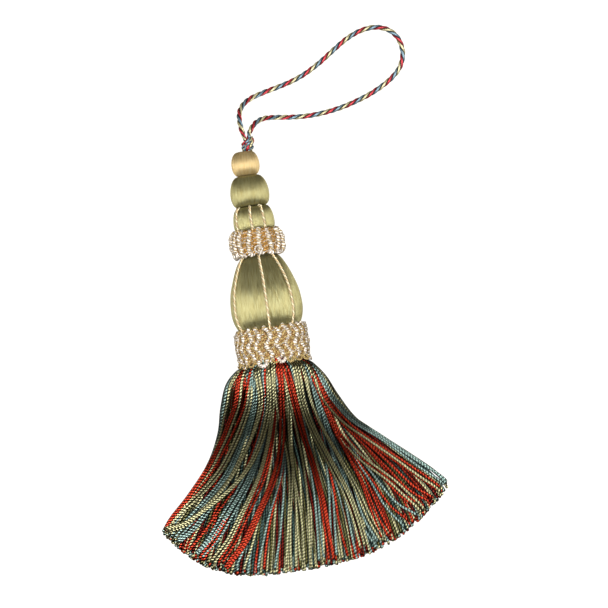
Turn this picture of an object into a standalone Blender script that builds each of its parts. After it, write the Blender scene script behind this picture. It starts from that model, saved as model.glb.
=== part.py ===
"""A tassel with a hanging loop, laid down flat on a table.

Metres, +Z up. The tassel's axis runs along Y: the skirt lies towards -Y and the hanging loop towards +Y.
The origin is on the table, under the middle of the lower ruff. The head rests on that ruff, which the table
presses flat, and on the widest place of its bell, so that it dips a little towards the loop.
"""

import math

import bmesh
import bpy
from mathutils import Vector

MM = 0.001
GAP = 0.3 * MM  # between pieces that touch

# The head. A station is a distance along the head's axis, from the origin towards the loop.
RUFF_LOWER_STATION = -0.25 * MM
RUFF_LOWER_RADIUS = 13.25 * MM
RUFF_LOWER_HEIGHT = 12.5 * MM
RUFF_LOWER_BORE = 10.9 * MM
RUFF_LOWER_SHOULDER = 0.9 * MM  # how far its outer side curls in at both edges
RUFF_LOWER_LOBES = 24
RUFF_LOWER_LOBE_DEPTH = 0.25 * MM
RUFF_LOWER_SQUASH = 0.35 * MM  # how far the table presses into it
RUFF_UPPER_STATION = 35.95 * MM
RUFF_UPPER_RADIUS = 9.8 * MM
RUFF_UPPER_HEIGHT = 9.4 * MM
RUFF_UPPER_BORE = 8.0 * MM
RUFF_UPPER_SHOULDER = 1.0 * MM
RUFF_UPPER_LOBES = 15
RUFF_UPPER_LOBE_DEPTH = 0.6 * MM

BALL_LARGE_TOP = 59.55 * MM
BALL_LARGE_TOP_RADIUS = 3.6 * MM
BALL_LARGE_FOOT = 48.95 * MM
BALL_LARGE_FOOT_RADIUS = 4.8 * MM
BALL_LARGE_RADIUS = 6.75 * MM
BALL_SMALL_TOP = 68.35 * MM
BALL_SMALL_TOP_RADIUS = 2.3 * MM
BALL_SMALL_FOOT_RADIUS = 3.3 * MM
BALL_SMALL_RADIUS = 4.9 * MM
KNOT_HEIGHT = 5.3 * MM
KNOT_RADIUS = 2.35 * MM
KNOT_END_RADIUS = 2.1 * MM
KNOT_ASIDE = 1.8 * MM  # the knot sits a little to the right of the axis

# The cords laid on the floss by hand: each one's angle on the dome and on the bell, in degrees round the
# axis, from 0 on top of the lying head to positive on its right side.
LAID_CORD_ANGLES = [(-50, -56), (-6, 2), (28, 45), (124, 122), (236, 238)]
LAID_CORD_RADIUS = 0.5 * MM
DOME_STATION = 44.0
BELL_STATION = 24.0

CORD_RADIUS = 0.9 * MM
CORD_POINTS = 52

# How finely the turned pieces are divided.
BARREL_ROWS = 7
RING_ROWS = 5
RING_CHAMFER = 0.3 * MM
BALL_STEPS = 24
BELL_STEPS = 32
KNOT_STEPS = 16
STEPS_PER_UPPER_LOBE = 4
STEPS_PER_LOWER_LOBE = 3

# The mould under the floss, from its top to its foot: station and radius in mm.
BELL_OUTLINE = [
    (48.65, 5.3),
    (47.6, 6.2),
    (45.5, 6.9),
    (43.1, 7.25),
    (41.9, 6.9),
    (40.75, 6.1),
    (39.55, 5.8),
    (32.35, 5.8),
    (31.2, 6.2),
    (30.2, 7.2),
    (28.4, 8.4),
    (25.5, 9.75),
    (22.3, 10.95),
    (19.1, 11.95),
    (15.8, 12.5),
    (12.0, 12.7),
    (9.0, 12.4),
    (7.3, 11.8),
    (6.5, 10.55),
    (0.0, 10.55),
]

# The skirt, from inside the lower ruff to the ends of its cords, in mm. Left, middle and right are where
# a section's two sides and its middle lie on the table, under is its lowest height, edge the height at
# which its upper and lower halves meet at the sides, crown its highest, and roundness 1 for a round
# section and 0 for a flat one. The table presses flat what under leaves below it. Lean is the slope of a
# section's plane, which follows the dip of the head inside the ruff.
SKIRT_COLUMNS = "left_x left_y middle_x middle_y right_x right_y under edge crown roundness lean"
SKIRT_SECTIONS = [
    (-10.5, -0.4, 0.0, -0.4, 10.5, -0.4, 2.4, 12.9, 23.4, 1.0, 0.016),
    (-10.5, -6.7, 0.0, -6.7, 10.5, -6.7, 2.5, 13.0, 23.5, 1.0, 0.016),
    (-14.6, -8.6, 0.0, -9.4, 13.4, -9.4, 0.4, 11.5, 26.0, 0.9, 0.008),
    (-19.0, -12.8, 0.0, -15.5, 17.3, -14.6, -1.0, 8.0, 27.0, 0.8, 0.0),
    (-22.2, -20.6, 0.2, -25.0, 20.8, -22.0, -1.0, 5.0, 24.0, 0.7, 0.0),
    (-24.8, -30.4, 0.6, -35.0, 26.2, -31.0, -0.8, 3.0, 17.2, 0.55, 0.0),
    (-29.8, -39.8, 1.0, -46.0, 34.8, -39.0, -0.6, 2.0, 11.0, 0.4, 0.0),
    (-37.8, -48.9, 1.0, -58.0, 43.8, -46.8, -0.5, 1.6, 7.2, 0.3, 0.0),
    (-44.8, -55.4, 0.4, -69.5, 50.6, -52.6, -0.5, 1.5, 5.2, 0.2, 0.0),
    (-47.8, -58.2, -0.4, -77.4, 54.0, -56.2, -0.5, 1.4, 4.4, 0.2, 0.0),
    (-49.9, -61.2, -1.0, -83.0, 56.0, -59.8, -0.5, 1.2, 3.6, 0.2, 0.0),
]
SKIRT_BOW = 3.0  # how fully a section bows out between its two sides
SKIRT_TEETH = 22
TOOTH_COLUMNS = (0.0, 0.12, 0.5, 0.88)  # where the columns lie across one tooth, the first in its gap
TOOTH_REACH = (0.0, 0.8, 1.0, 0.8)  # how far each goes from the last but one section to the last
TOOTH_UNEVENNESS = 0.25

# The hanging cord's route, chosen by eye from its shape on the table: x, y and height in mm. It leaves
# the knot on its left side, goes round the loop clockwise and comes back to the knot's right side.
CORD_ROUTE = [
    (0.72, 74.7, 11.45),
    (0.4, 76.8, 11.0),
    (0.2, 80.0, 9.6),
    (0.7, 83.2, 7.6),
    (2.65, 86.0, 5.4),
    (5.85, 87.9, 3.4),
    (10.4, 89.3, 1.8),
    (15.9, 90.6, 1.0),
    (21.2, 92.0, 0.9),
    (26.2, 94.0, 0.9),
    (31.6, 97.0, 0.9),
    (37.0, 100.6, 0.9),
    (42.6, 104.1, 0.9),
    (48.0, 106.2, 0.9),
    (53.4, 106.6, 0.9),
    (57.9, 104.9, 0.9),
    (60.7, 101.7, 0.9),
    (61.7, 97.8, 0.9),
    (61.3, 94.2, 0.9),
    (59.4, 90.5, 0.9),
    (55.2, 86.9, 0.9),
    (49.4, 83.8, 0.9),
    (44.0, 81.8, 0.9),
    (37.8, 80.1, 0.9),
    (31.0, 79.0, 0.9),
    (24.4, 78.7, 1.0),
    (18.0, 79.1, 1.8),
    (12.8, 79.65, 3.8),
    (8.85, 79.6, 6.4),
    (6.0, 78.45, 9.0),
    (4.1, 76.5, 11.0),
    (2.95, 74.75, 11.45),
]

GOLD_FLOSS = (0.62, 0.48, 0.24)
OLIVE_FLOSS = (0.36, 0.34, 0.13)
GREEN_FLOSS = (0.45, 0.43, 0.20)
CREAM = (0.72, 0.62, 0.40)
RED = (0.42, 0.04, 0.03)
GIMP = (0.70, 0.56, 0.42)
SKIRT_MIX = (0.30, 0.25, 0.14)


def head_slope():
    """How far the head's axis drops for each metre towards the loop."""
    widest_station, widest_radius = max(BELL_OUTLINE, key=lambda row: row[1])
    at_ruff = RUFF_LOWER_RADIUS - RUFF_LOWER_SQUASH
    return (at_ruff - widest_radius * MM) / (widest_station * MM - RUFF_LOWER_STATION)


def head_height(station):
    """How high the head's axis lies above the table at a station."""
    return RUFF_LOWER_RADIUS - RUFF_LOWER_SQUASH - head_slope() * (station - RUFF_LOWER_STATION)


def clear_scene():
    for obj in list(bpy.data.objects):
        bpy.data.objects.remove(obj, do_unlink=True)


def make_collection(name):
    collection = bpy.data.collections.new(name)
    bpy.context.scene.collection.children.link(collection)
    return collection


def make_material(name, color, roughness):
    material = bpy.data.materials.new(name)
    material.use_nodes = True
    shader = material.node_tree.nodes["Principled BSDF"]
    shader.inputs["Base Color"].default_value = (*color, 1.0)
    shader.inputs["Roughness"].default_value = roughness
    shader.inputs["Metallic"].default_value = 0.0
    return material


def add_object(name, data, material, parent=None):
    obj = bpy.data.objects.new(name, data)
    obj.data.materials.append(material)
    obj.parent = parent
    PARTS.objects.link(obj)
    return obj


def smooth_route(points, count):
    """Points at equal distances on one smooth curve through the given points."""
    padded = [2 * points[0] - points[1], *points, 2 * points[-1] - points[-2]]
    fine = []
    steps = 12
    for a, b, c, d in zip(padded, padded[1:], padded[2:], padded[3:]):
        for step in range(steps):
            u = step / steps
            bend = (2 * a - 5 * b + 4 * c - d) * u * u + (3 * b - a - 3 * c + d) * u ** 3
            fine.append(b + 0.5 * ((c - a) * u + bend))
    fine.append(points[-1].copy())
    reached = [0.0]
    for one, two in zip(fine, fine[1:]):
        reached.append(reached[-1] + (two - one).length)
    route = []
    place = 0
    for i in range(count):
        wanted = reached[-1] * i / (count - 1)
        while place < len(fine) - 2 and reached[place + 1] < wanted:
            place += 1
        share = (wanted - reached[place]) / (reached[place + 1] - reached[place])
        route.append(fine[place].lerp(fine[place + 1], min(share, 1.0)))
    return route


def make_tube(name, route, radius, material, parent=None):
    """A round cord along a route, as a curve with filled ends."""
    curve = bpy.data.curves.new(name, "CURVE")
    curve.dimensions = "3D"
    curve.bevel_depth = radius
    curve.bevel_resolution = 2
    curve.use_fill_caps = True
    spline = curve.splines.new("POLY")
    spline.points.add(len(route) - 1)
    for point, place in zip(spline.points, route):
        point.co = (*place, 1.0)
    return add_object(name, curve, material, parent)


def make_turned(name, outline, steps, material, closed=False):
    """A shape turned about the head's axis, from an outline of (station, radius) that runs down."""
    mesh = bpy.data.meshes.new(name)
    points = [(radius, 0.0, station) for station, radius in outline]
    edges = [(i, i + 1) for i in range(len(points) - 1)]
    if closed:
        edges.append((len(points) - 1, 0))
    mesh.from_pydata(points, edges, [])
    obj = add_object(name, mesh, material, HEAD)
    screw = obj.modifiers.new("turn", "SCREW")
    screw.axis = "Z"
    screw.steps = steps
    screw.render_steps = steps
    screw.use_merge_vertices = True
    screw.merge_threshold = 0.0001
    return obj


def with_ends(outline):
    """The outline of a solid piece, closed on the axis at both ends."""
    return [(outline[0][0], 0.0), *outline, (outline[-1][0], 0.0)]


def barrel_outline(top, top_radius, foot, foot_radius, radius):
    """A ball's outline, which curls in to its neighbours at both ends."""
    outline = []
    bulge = radius - (top_radius + foot_radius) / 2
    for i in range(BARREL_ROWS + 1):
        angle = math.pi * i / BARREL_ROWS
        share = (1 - math.cos(angle)) / 2
        base = top_radius + (foot_radius - top_radius) * share
        outline.append((top + (foot - top) * share, base + bulge * math.sin(angle)))
    return outline


def ring_outline(station, height, radius, bore, shoulder):
    """A ruff's section: a plain bore, and an outer side that is rounded off by the shoulder."""
    half = height / 2
    outer = []
    for i in range(RING_ROWS + 1):
        angle = math.pi * i / RING_ROWS
        fullness = math.sin(angle) ** 0.5
        outer.append((station + half * math.cos(angle), radius - shoulder * (1 - fullness)))
    return [*outer, (station - half + RING_CHAMFER, bore), (station + half - RING_CHAMFER, bore)]


def gather_into_lobes(obj, lobes, depth, bore):
    """Turns a plain ring into one with standing loops side by side: its outer side gets the lobes."""
    bpy.context.view_layer.update()
    graph = bpy.context.evaluated_depsgraph_get()
    mesh = bpy.data.meshes.new_from_object(obj.evaluated_get(graph))
    obj.modifiers.clear()
    obj.data = mesh
    for vertex in mesh.vertices:
        radius = math.hypot(vertex.co.x, vertex.co.y)
        if radius < bore + RING_CHAMFER:
            continue
        angle = math.atan2(vertex.co.y, vertex.co.x)
        shrink = 1 - depth * (1 - math.cos(lobes * angle)) / (2 * radius)
        vertex.co.x *= shrink
        vertex.co.y *= shrink


def press_on_table(obj):
    """The table flattens what would reach below it."""
    bpy.context.view_layer.update()
    to_world = obj.matrix_world
    to_local = to_world.inverted()
    for vertex in obj.data.vertices:
        place = to_world @ vertex.co
        if place.z < 0.0:
            vertex.co = to_local @ Vector((place.x, place.y, 0.0))


def make_head():
    """The turned pieces, from the small ball down to the bell."""
    outline = barrel_outline(
        BALL_SMALL_TOP, BALL_SMALL_TOP_RADIUS, BALL_LARGE_TOP + GAP, BALL_SMALL_FOOT_RADIUS, BALL_SMALL_RADIUS
    )
    gold = make_material("gold_floss", GOLD_FLOSS, 0.4)
    make_turned("ball_small", with_ends(outline), BALL_STEPS, gold)
    outline = barrel_outline(
        BALL_LARGE_TOP, BALL_LARGE_TOP_RADIUS, BALL_LARGE_FOOT, BALL_LARGE_FOOT_RADIUS, BALL_LARGE_RADIUS
    )
    olive = make_material("olive_floss", OLIVE_FLOSS, 0.4)
    make_turned("ball_large", with_ends(outline), BALL_STEPS, olive)
    outline = [(station * MM, radius * MM) for station, radius in BELL_OUTLINE]
    green = make_material("green_floss", GREEN_FLOSS, 0.4)
    make_turned("bell", with_ends(outline), BELL_STEPS, green)


def make_ruffs():
    gimp = make_material("gimp", GIMP, 0.6)
    outline = ring_outline(
        RUFF_UPPER_STATION, RUFF_UPPER_HEIGHT, RUFF_UPPER_RADIUS, RUFF_UPPER_BORE, RUFF_UPPER_SHOULDER
    )
    steps = RUFF_UPPER_LOBES * STEPS_PER_UPPER_LOBE
    upper = make_turned("ruff_upper", outline, steps, gimp, closed=True)
    gather_into_lobes(upper, RUFF_UPPER_LOBES, RUFF_UPPER_LOBE_DEPTH, RUFF_UPPER_BORE)
    outline = ring_outline(
        RUFF_LOWER_STATION, RUFF_LOWER_HEIGHT, RUFF_LOWER_RADIUS, RUFF_LOWER_BORE, RUFF_LOWER_SHOULDER
    )
    steps = RUFF_LOWER_LOBES * STEPS_PER_LOWER_LOBE
    lower = make_turned("ruff_lower", outline, steps, gimp, closed=True)
    gather_into_lobes(lower, RUFF_LOWER_LOBES, RUFF_LOWER_LOBE_DEPTH, RUFF_LOWER_BORE)
    press_on_table(lower)


def make_laid_cords():
    """Fine cords that follow the bell's outline, just off its floss, and pass under the upper ruff."""
    cream = make_material("laid_cord", CREAM, 0.5)
    rows = [Vector(row) for row in BELL_OUTLINE[:-1]]
    lifted = []
    for above, row, below in zip(rows, rows[1:], rows[2:]):
        along = (below - above).normalized()
        station, radius = row * MM + Vector((along.y, -along.x)) * (GAP + LAID_CORD_RADIUS)
        lifted.append((row.x, station, radius))
    for number, (on_dome, on_bell) in enumerate(LAID_CORD_ANGLES, start=1):
        route = []
        for row_station, station, radius in lifted:
            share = (DOME_STATION - row_station) / (DOME_STATION - BELL_STATION)
            angle = math.radians(on_dome + (on_bell - on_dome) * min(max(share, 0.0), 1.0))
            route.append(Vector((radius * math.sin(angle), -radius * math.cos(angle), station)))
        make_tube(f"laid_cord_{number}", route, LAID_CORD_RADIUS, cream, HEAD)


def make_knot():
    foot = BALL_SMALL_TOP + GAP
    outline = barrel_outline(foot + KNOT_HEIGHT, KNOT_END_RADIUS, foot, KNOT_END_RADIUS, KNOT_RADIUS)
    red = make_material("knot_red", RED, 0.5)
    knot = make_turned("cord_knot", with_ends(outline), KNOT_STEPS, red)
    knot.location.x = KNOT_ASIDE


def make_hanging_cord():
    route = smooth_route([Vector(point) * MM for point in CORD_ROUTE], CORD_POINTS)
    make_tube("hanging_cord", route, CORD_RADIUS, make_material("cord_red", RED, 0.5))


def skirt_columns():
    """(place across from -1 to 1, reach of the last section) for each column, tooth by tooth."""
    columns = []
    for tooth in range(SKIRT_TEETH):
        trim = TOOTH_UNEVENNESS * (0.5 + 0.5 * math.sin(2.4 * tooth))
        for place, reach in zip(TOOTH_COLUMNS, TOOTH_REACH):
            across = 2 * (tooth + place) / SKIRT_TEETH - 1
            columns.append((across, reach * (1 - trim)))
    columns.append((1.0, 0.0))
    return columns


def skirt_point(section, across, side):
    """A point of a section: across from -1 to 1, and side 1 on its upper half or -1 on its lower."""
    row = dict(zip(SKIRT_COLUMNS.split(), section))
    rounded = math.sin(across * math.pi / 2)
    p = across + (rounded - across) * row["roundness"]
    left = Vector((row["left_x"], row["left_y"]))
    middle = Vector((row["middle_x"], row["middle_y"]))
    right = Vector((row["right_x"], row["right_y"]))
    bow = abs(p) ** SKIRT_BOW
    plan = middle + (right - left) * (p / 2) + ((left + right) / 2 - middle) * bow
    squareness = 4 - 2 * row["roundness"]
    fullness = max(0.0, 1 - abs(p) ** squareness) ** (1 / squareness)
    rise = (row["crown"] - row["edge"]) * fullness
    if side < 0:
        rise = (row["under"] - row["edge"]) * fullness
    return Vector((plan.x, plan.y + rise * row["lean"], row["edge"] + rise)) * MM


def section_ring(section, following, columns):
    """A section's points, over the top from left to right and back underneath."""
    ring = []
    underneath = columns[-2:0:-1]
    for side, listed in ((1, columns), (-1, underneath)):
        for across, reach in listed:
            place = skirt_point(section, across, side)
            if following:
                place = place.lerp(skirt_point(following, across, side), reach)
            ring.append(place)
    return ring


def make_skirt():
    """One solid through all sections, with the comb of the cords' ends along its edge."""
    columns = skirt_columns()
    rings = [section_ring(section, None, columns) for section in SKIRT_SECTIONS[:-1]]
    rings.append(section_ring(SKIRT_SECTIONS[-2], SKIRT_SECTIONS[-1], columns))
    work = bmesh.new()
    rows = [[work.verts.new(place) for place in ring] for ring in rings]
    count = len(rows[0])
    for upper, lower in zip(rows[:-2], rows[1:-1]):
        for i in range(count):
            j = (i + 1) % count
            work.faces.new((upper[j], upper[i], lower[i], lower[j]))
    work.faces.new(rows[0])
    join_teeth(work, rows[-2], rows[-1], columns)
    work.normal_update()
    mesh = bpy.data.meshes.new("skirt")
    work.to_mesh(mesh)
    work.free()
    skirt = add_object("skirt", mesh, make_material("skirt_cords", SKIRT_MIX, 0.5))
    press_on_table(skirt)


def join_teeth(work, root, end, columns):
    """The faces from the roots of the teeth to their ends, a gap's column staying at its root."""
    count = len(root)
    last = len(columns) - 1
    ends = [root[i] if columns[min(i, count - i)][1] == 0.0 else end[i] for i in range(count)]
    for i in range(count):
        if ends[i] is root[i]:
            work.verts.remove(end[i])
    for i in range(count):
        j = (i + 1) % count
        face = [root[j], root[i], ends[i], ends[j]]
        corners = [vert for k, vert in enumerate(face) if vert is not face[k - 1]]
        work.faces.new(corners)
    for i in range(last):
        upper, upper_next = ends[i], ends[i + 1]
        lower, lower_next = ends[(count - i) % count], ends[(count - i - 1) % count]
        face = [upper_next, upper, lower, lower_next]
        corners = [vert for k, vert in enumerate(face) if vert is not face[k - 1]]
        work.faces.new(corners)


clear_scene()
PARTS = make_collection("tassel")
HEAD = bpy.data.objects.new("head_axis", None)
HEAD.location = (0.0, 0.0, head_height(0.0))
HEAD.rotation_euler = (-math.pi / 2 - math.asin(head_slope()), 0.0, 0.0)
PARTS.objects.link(HEAD)
bpy.context.view_layer.update()

make_head()
make_ruffs()
make_laid_cords()
make_knot()
make_hanging_cord()
make_skirt()
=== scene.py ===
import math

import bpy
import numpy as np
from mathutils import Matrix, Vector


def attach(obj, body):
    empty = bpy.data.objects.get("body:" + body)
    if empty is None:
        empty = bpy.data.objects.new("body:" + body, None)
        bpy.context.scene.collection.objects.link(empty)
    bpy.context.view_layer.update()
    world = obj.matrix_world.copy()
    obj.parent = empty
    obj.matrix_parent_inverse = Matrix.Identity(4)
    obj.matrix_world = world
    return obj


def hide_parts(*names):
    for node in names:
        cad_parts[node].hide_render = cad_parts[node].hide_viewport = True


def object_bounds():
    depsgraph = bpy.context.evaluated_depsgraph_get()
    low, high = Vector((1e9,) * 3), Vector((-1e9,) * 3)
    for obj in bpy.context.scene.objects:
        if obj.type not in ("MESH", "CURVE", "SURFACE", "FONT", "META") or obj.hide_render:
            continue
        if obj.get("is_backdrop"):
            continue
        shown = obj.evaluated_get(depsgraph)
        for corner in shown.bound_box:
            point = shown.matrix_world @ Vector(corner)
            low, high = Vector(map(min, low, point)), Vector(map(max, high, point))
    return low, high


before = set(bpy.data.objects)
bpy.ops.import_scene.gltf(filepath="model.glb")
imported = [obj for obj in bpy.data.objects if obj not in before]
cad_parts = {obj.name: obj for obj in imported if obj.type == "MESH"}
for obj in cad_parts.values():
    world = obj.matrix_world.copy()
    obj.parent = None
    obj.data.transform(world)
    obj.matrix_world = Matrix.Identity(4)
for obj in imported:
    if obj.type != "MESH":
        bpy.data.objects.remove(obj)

# %% [markdown]
# # A key tassel, thread by thread
# The frame that was just loaded is the tassel as plain solids: a hanging loop, a knot, two
# covered balls, a covered bell, two collars and one solid for the skirt. Every piece below is
# built round that frame in the same place, and shows what a plain solid can't: plies, loops of
# gimp, laid floss and single skirt cords. The frame's own box is kept first, because the
# finished tassel has to stay the same size.

MM = 0.001
FRAME_BOX = [[float(value) for value in corner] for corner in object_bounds()]
bpy.ops.object.select_all(action="DESELECT")
print("frame from", FRAME_BOX[0], "to", FRAME_BOX[1], "metres")

# %% [markdown]
# ## Camera
# The tassel lies flat and is seen from straight above, turned a little clockwise. A long lens
# shows it almost without perspective, as a catalogue picture does. The camera comes before the
# pieces because it says how fine each of them has to be.

# %% The camera above the table
CAMERA_PLACE = (13.24 * MM, 11.98 * MM, 750 * MM)
CAMERA_TURN = math.radians(-8.5)
PICTURE_WIDTH = 608 * 0.36 * MM  # pixels, and what one of them shows
SENSOR = 36
bpy.ops.object.camera_add(location=CAMERA_PLACE, rotation=(0, 0, CAMERA_TURN))
camera = bpy.context.object
camera.data.sensor_width = SENSOR
camera.data.lens = SENSOR * CAMERA_PLACE[2] / PICTURE_WIDTH
bpy.context.scene.camera = camera
print("lens", round(camera.data.lens, 1), "mm")

# %% [markdown]
# ## Table and light
# Rayon floss is satin: it shows a bright band where it mirrors the lamp and goes dark where it
# mirrors the room. So there is one soft lamp overhead, a faint one on each side, and a dim room.
# A white table would light the tassel from below and wash the dark bands out. This one is dull,
# and a glow that only the camera sees makes it look like paper.

# %% The table
def colour(code):
    """A colour from a dyer's card, as six hex digits, for Blender's shaders."""
    parts = [int(code[k : k + 2], 16) / 255 for k in (0, 2, 4)]
    return [p / 12.92 if p < 0.04045 else ((p + 0.055) / 1.055) ** 2.4 for p in parts] + [1]


def shader(material, **values):
    """The material's Principled shader, with plain values set on its own sockets."""
    material.use_nodes = True
    principled = material.node_tree.nodes["Principled BSDF"]
    for name, value in values.items():
        principled.inputs[name.replace("_", " ")].default_value = value
    return principled


bpy.ops.mesh.primitive_plane_add(size=4, location=(0, 0, 0))
table = bpy.context.object
table.name = "table"
table_paint = bpy.data.materials.new("table_paint")
paint = shader(table_paint, Base_Color=colour("5e5644"), Roughness=0.9, Emission_Color=colour("ffffff"))
seen = table_paint.node_tree.nodes.new("ShaderNodeLightPath")
table_paint.node_tree.links.new(seen.outputs["Is Camera Ray"], paint.inputs["Emission Strength"])
table.data.materials.append(table_paint)
table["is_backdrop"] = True
print("table", round(table.dimensions.x, 1), "m wide")

# %% The lamps and the room
bpy.ops.object.light_add(type="AREA", location=(0.02, -0.01, 0.95))
lamp = bpy.context.object
lamp.data.shape = "RECTANGLE"
lamp.data.size, lamp.data.size_y = 0.42, 0.64
lamp.data.energy = 18
for side in (-1, 1):
    turn = (0, math.radians(82 * side), 0)
    bpy.ops.object.light_add(type="AREA", location=(0.6 * side, 0.2, 0.14), rotation=turn)
    fill = bpy.context.object
    fill.data.size = 0.4
    fill.data.energy = 1.5
room = bpy.data.worlds.new("room")
bpy.context.scene.world = room
room.use_nodes = True
room.node_tree.nodes["Background"].inputs["Color"].default_value = (1, 0.85, 0.6, 1)
room.node_tree.nodes["Background"].inputs["Strength"].default_value = 0.02
bpy.context.scene.view_settings.view_transform = "Standard"
print("lamp", lamp.data.energy, "W, side lamps", fill.data.energy, "W")

# %% [markdown]
# ## Yarn
# A twisted cord is two or three plies wound round each other. Each ply is a bundle of shiny
# fibres. It is painted paler where it crowns, and darker where it dives under its neighbour:
# that darker colour is painted shade. The colour and the fine relief follow the ply: they are
# read from a UV map named lay, which holds the distance along the ply in millimetres and the
# way round it from 0 to 1. One node group does this for every cord, and each cord's material
# gives it its own dye and the colour of its painted shade. A thick cord has real plies. A skirt
# cord is one tube, and the group paints its two plies on, with painted shade between them.

# %% Nodes in a few words
def add_node(tree, kind, links=None, **values):
    """A node with its settings; links gives what feeds its inputs, a socket or a number."""
    node = tree.nodes.new(kind)
    for name, value in values.items():
        setattr(node, name, value)
    for name, source in (links or {}).items():
        socket = node.inputs[name]
        if hasattr(source, "is_output"):
            tree.links.new(source, socket)
        else:
            socket.default_value = source
    return node


def helpers(tree):
    """Short ways to add the nodes that one tree uses most."""

    def maths(operation):
        def answer(first, second=0.0):
            return add_node(tree, "ShaderNodeMath", {0: first, 1: second}, operation=operation).outputs[0]
        return answer

    def vector(operation, links, output=0):
        return add_node(tree, "ShaderNodeVectorMath", links, operation=operation).outputs[output]

    def scaled(first, scale):
        return vector("SCALE", {0: first, "Scale": scale})

    def joined(x, y=0.0, z=0.0):
        return add_node(tree, "ShaderNodeCombineXYZ", {0: x, 1: y, 2: z}).outputs[0]

    def noise(place, detail):
        links = {"Vector": place, "Scale": 1.0, "Detail": detail}
        return add_node(tree, "ShaderNodeTexNoise", links).outputs[0]

    def eased(value, low, high):
        """0 at low and 1 at high, with a soft start and end."""
        links = {0: value, 1: low, 2: high, 3: 0.0, 4: 1.0}
        return add_node(tree, "ShaderNodeMapRange", links, interpolation_type="SMOOTHSTEP").outputs[0]

    def blend(share, first, second):
        return add_node(tree, "ShaderNodeMix", {0: share, 6: first, 7: second}, data_type="RGBA").outputs[2]

    def read_map(name):
        """The two numbers that a UV map holds."""
        uv = add_node(tree, "ShaderNodeUVMap", uv_map=name).outputs[0]
        return add_node(tree, "ShaderNodeSeparateXYZ", {0: uv}).outputs[:2]

    words = [maths(operation) for operation in ("MULTIPLY", "ADD", "SUBTRACT", "SINE", "COSINE")]
    return *words, vector, scaled, joined, noise, eased, blend, read_map


def new_group(name, inputs, outputs):
    """An empty node group with its named sockets."""
    tree = bpy.data.node_groups.new(name, "ShaderNodeTree")
    for label, start in inputs.items():
        kind = NUMBER if isinstance(start, float) else COLOUR
        tree.interface.new_socket(label, in_out="INPUT", socket_type=kind).default_value = start
    for label, kind in outputs:
        tree.interface.new_socket(label, in_out="OUTPUT", socket_type=kind)
    return tree, tree.nodes.new("NodeGroupInput").outputs, tree.nodes.new("NodeGroupOutput").inputs


COLOUR, NUMBER = "NodeSocketColor", "NodeSocketFloat"
LOOK = [("Color", COLOUR), ("Roughness", NUMBER), ("Normal", "NodeSocketVector")]
print("every group gives", ", ".join(label for label, _ in LOOK))

# %% The yarn group: dye and fibres
YARN_INPUTS = {
    "Dye": (0.5, 0.5, 0.5, 1), "Crevice Shade": (0.05, 0.05, 0.05, 1), "Plies": 2.0, "Turns": 0.0, "Crevice Shade Amount": 0.8,
    "Crevice Shade Width": 0.5, "Side Shade": 0.0, "Shine": 0.36, "Relief": 0.05, "Ply Relief": 0.0,
}
yarn, given, result = new_group("Twisted yarn", YARN_INPUTS, LOOK)
times, plus, minus, sine, cosine, vector, scaled, joined, noise, eased, blend, read_map = helpers(yarn)
along, around = read_map("lay")
turn = times(around, 2 * math.pi)
FIBRES_ROUND, FIBRES_ALONG, DYE_LOTS = 2.5, 0.5, 0.03  # how fast each unevenness changes
ring = joined(
    times(cosine(turn), FIBRES_ROUND),
    times(sine(turn), FIBRES_ROUND),
    times(along, FIBRES_ALONG),
)
fibres = noise(ring, 2.0)
tone = noise(joined(times(along, DYE_LOTS)), 1.0)
swing = times(minus(fibres, 0.5), 0.4)
drift = times(minus(tone, 0.5), 0.9)
bright = plus(1.0, plus(times(swing, 2.0), drift))
dyed = scaled(given["Dye"], bright)
print("dye and fibres:", len(yarn.nodes), "nodes")

# %% The yarn group: painted shade where a ply dives, and where neighbours keep the light out
ply = minus(around, times(along, given["Turns"]))
crown = cosine(times(times(ply, 2 * math.pi), given["Plies"]))
# Painted shade: where a ply dives under its neighbour, its dye gives way to the darker shade colour.
dive_shade = eased(minus(crown, given["Crevice Shade Width"]), 0.0, -0.8)
twisted = blend(times(dive_shade, given["Crevice Shade Amount"]), dyed, given["Crevice Shade"])
flank = eased(cosine(turn), 0.95, 0.6)
lit = minus(1.0, times(flank, given["Side Shade"]))
yarn.links.new(scaled(twisted, lit), result["Color"])
yarn.links.new(plus(given["Shine"], times(fibres, 0.25)), result["Roughness"])
print("with dives and shade:", len(yarn.nodes), "nodes")

# %% The yarn group: the fibres run straight down a cord whose surface winds
surface = add_node(yarn, "ShaderNodeNewGeometry").outputs["Normal"]
axis = add_node(yarn, "ShaderNodeTangent", direction_type="UV_MAP", uv_map="lay").outputs[0]
leaning = vector("DOT_PRODUCT", {0: surface, 1: axis}, "Value")
straight = vector("SUBTRACT", {0: surface, 1: scaled(axis, leaning)})
bump = add_node(yarn, "ShaderNodeBump", {
    "Height": fibres,
    "Distance": times(given["Relief"], MM),
    "Strength": 1.0,
    "Normal": vector("NORMALIZE", {0: straight}),
})
ropes = add_node(yarn, "ShaderNodeBump", {
    "Height": crown,
    "Distance": times(given["Ply Relief"], MM),
    "Normal": bump.outputs[0],
})
yarn.links.new(ropes.outputs[0], result["Normal"])
print("yarn group:", len(yarn.nodes), "nodes")


# %% Dyed materials
def dyed_material(name, group, plain, **values):
    """A material whose colour, roughness and relief come from a group; plain values go on its shader."""
    material = bpy.data.materials.new(name)
    principled = shader(material, **plain)
    tree = material.node_tree
    looks = add_node(tree, "ShaderNodeGroup", node_tree=group)
    for label, value in values.items():
        looks.inputs[label.replace("_", " ")].default_value = value
    for label, socket in (("Color", "Base Color"), ("Roughness", "Roughness"), ("Normal", "Normal")):
        tree.links.new(looks.outputs[label], principled.inputs[socket])
    if "Anisotropic" in plain:
        uv_map = "lay" if group == yarn else "threads"
        way = add_node(tree, "ShaderNodeTangent", direction_type="UV_MAP", uv_map=uv_map)
        tree.links.new(way.outputs[0], principled.inputs["Tangent"])
    return material


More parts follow.
